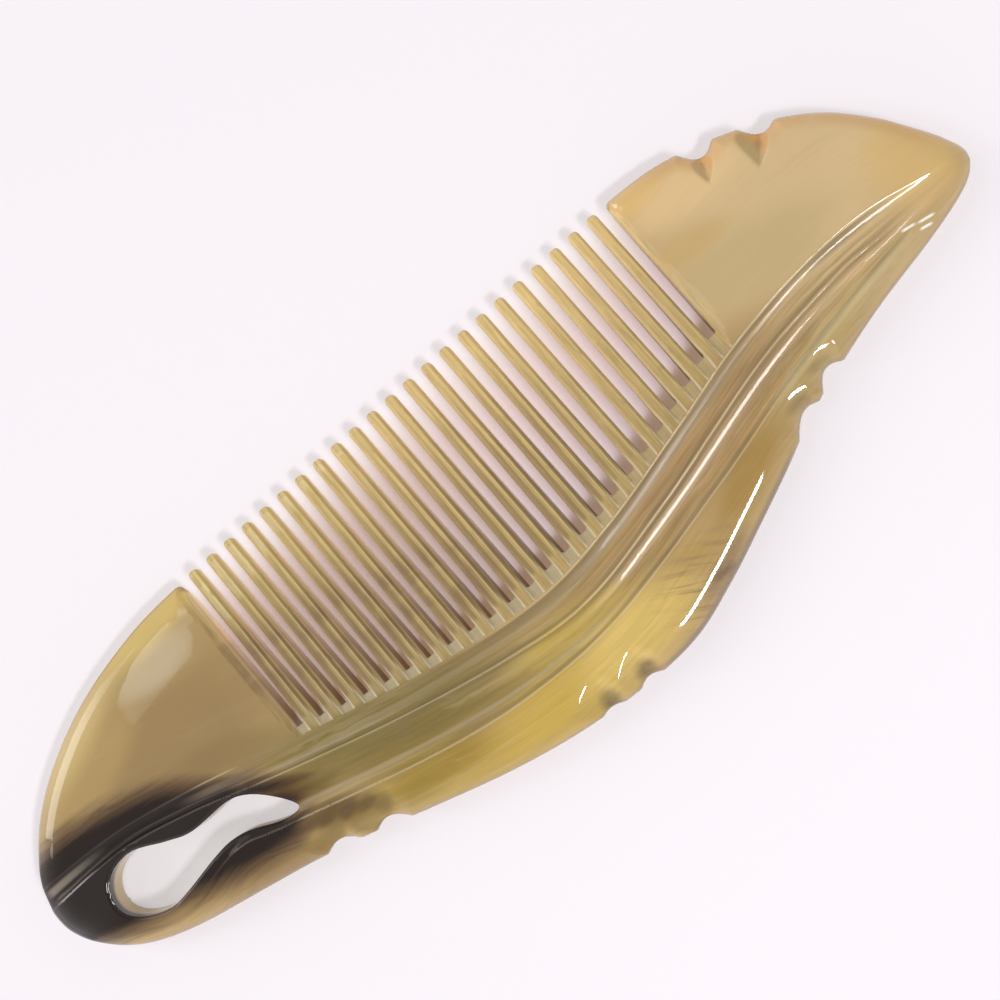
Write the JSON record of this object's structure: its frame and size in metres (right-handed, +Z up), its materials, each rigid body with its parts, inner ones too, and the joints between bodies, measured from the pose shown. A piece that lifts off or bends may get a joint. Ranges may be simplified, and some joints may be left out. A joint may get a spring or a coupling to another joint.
{
  "type": "horn comb",
  "caption": "Flat leaf-shaped comb carved from one piece of horn, with a row of teeth between two end panels, a fluted spine, notched rim and a wave-shaped hanging hole.",
  "frame": {"origin": "centre of the box round the comb, on the surface it lies on", "axes": "+X along the row of teeth towards the pointed end, +Y towards the tooth tips, +Z up out of the face that shows"},
  "size_m": [0.1656, 0.0538, 0.006],
  "materials": {
    "horn": "polished translucent horn, olive and amber with a dark brown end, finely scored on the teeth"
  },
  "bodies": {
    "root": {"comb": "horn"}
  },
  "joints": []
}
